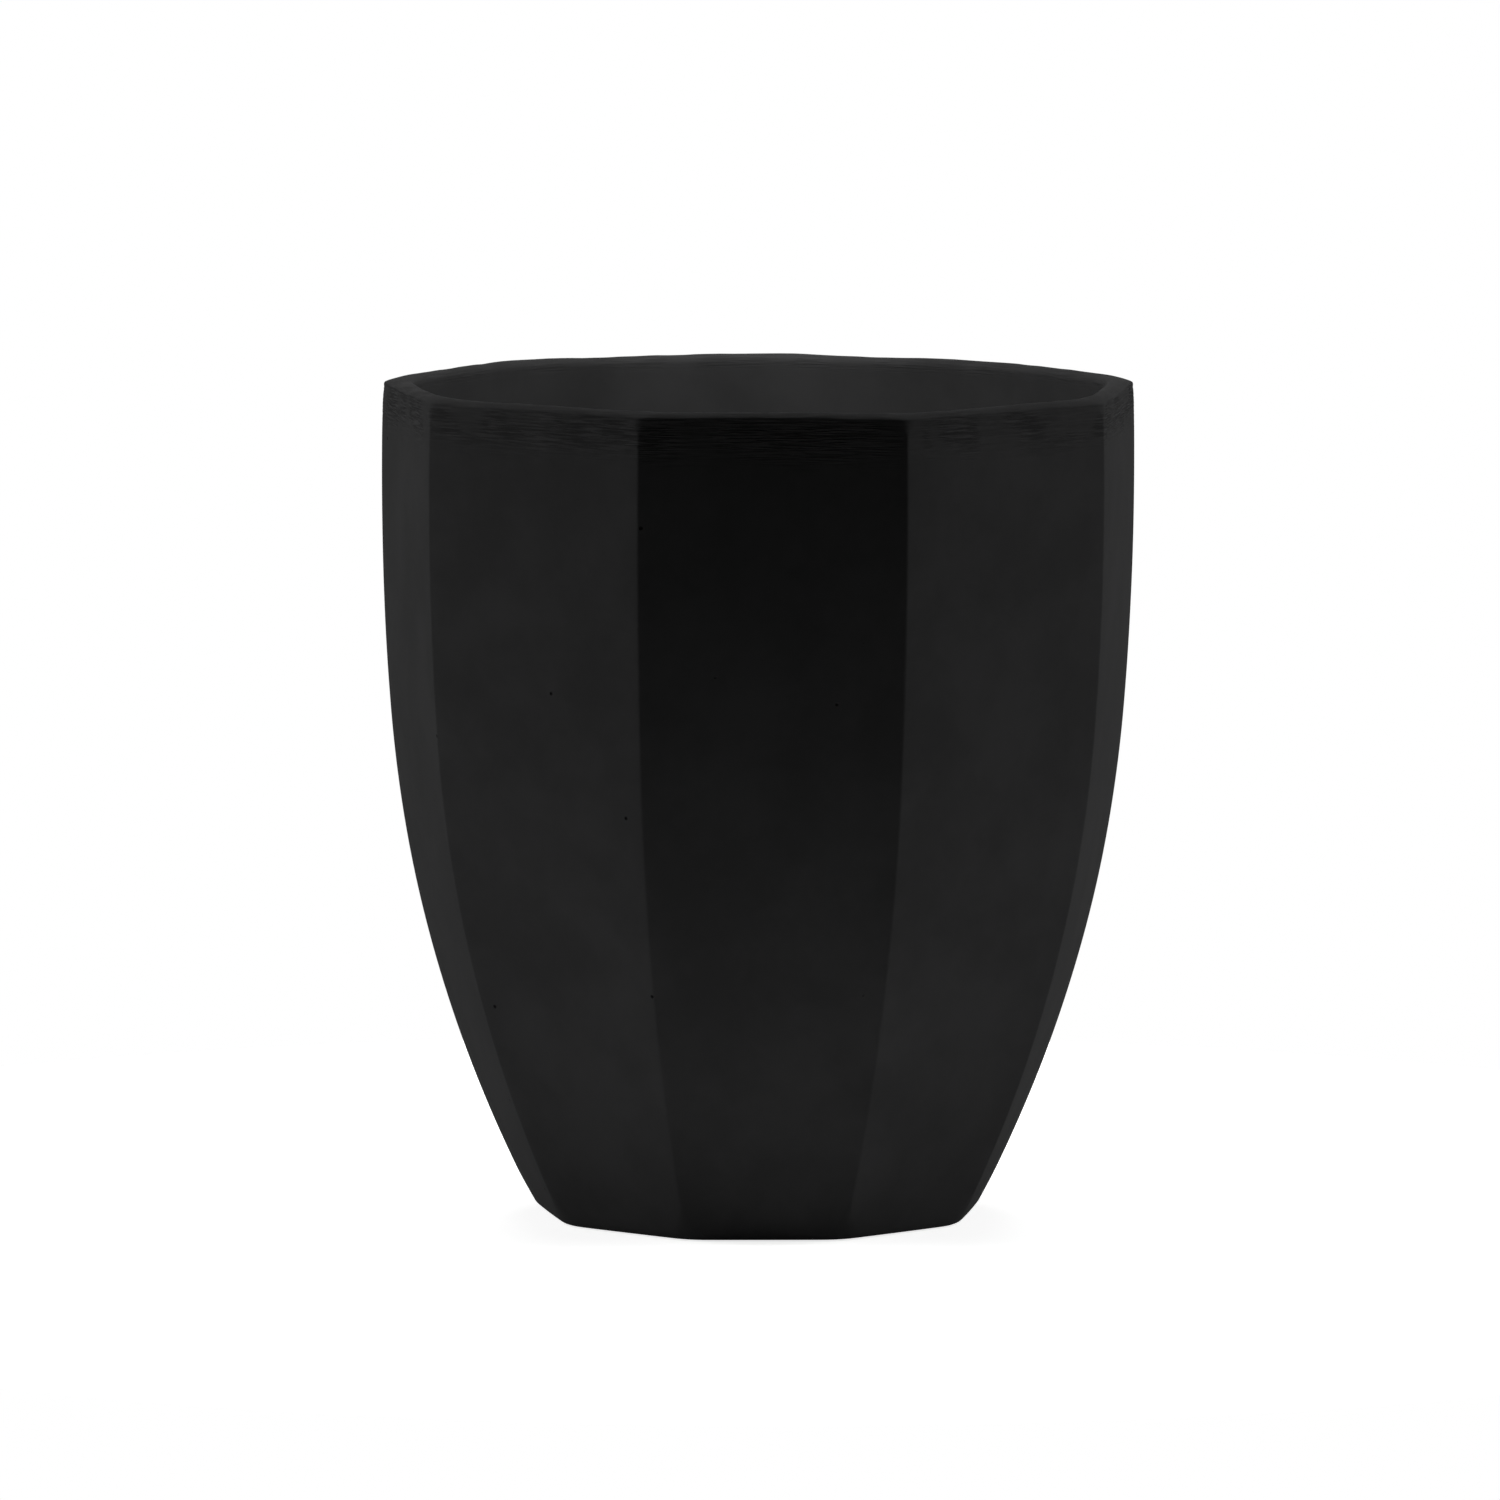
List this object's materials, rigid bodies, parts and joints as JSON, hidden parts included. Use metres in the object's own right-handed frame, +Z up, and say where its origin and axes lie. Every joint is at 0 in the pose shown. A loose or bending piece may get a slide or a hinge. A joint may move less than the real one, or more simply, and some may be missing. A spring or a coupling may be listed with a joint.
{
  "type": "candle jar",
  "caption": "Empty candle jar: a straight-sided polygonal cup that narrows to a small flat foot, with a wide open mouth and a plain flat lip, cast in one piece in matt black.",
  "frame": {"origin": "middle of the flat foot, on the jar's axis", "axes": "+Z up along the jar's axis through the mouth; -Y square to the front side, so the middle of one flat side faces -Y and a corner points to +Y; +X to the right seen from the front"},
  "size_m": [0.0906, 0.0893, 0.1],
  "materials": {
    "jar_body": "matte"
  },
  "bodies": {
    "root": {"jar_body": "jar_body"}
  },
  "joints": []
}
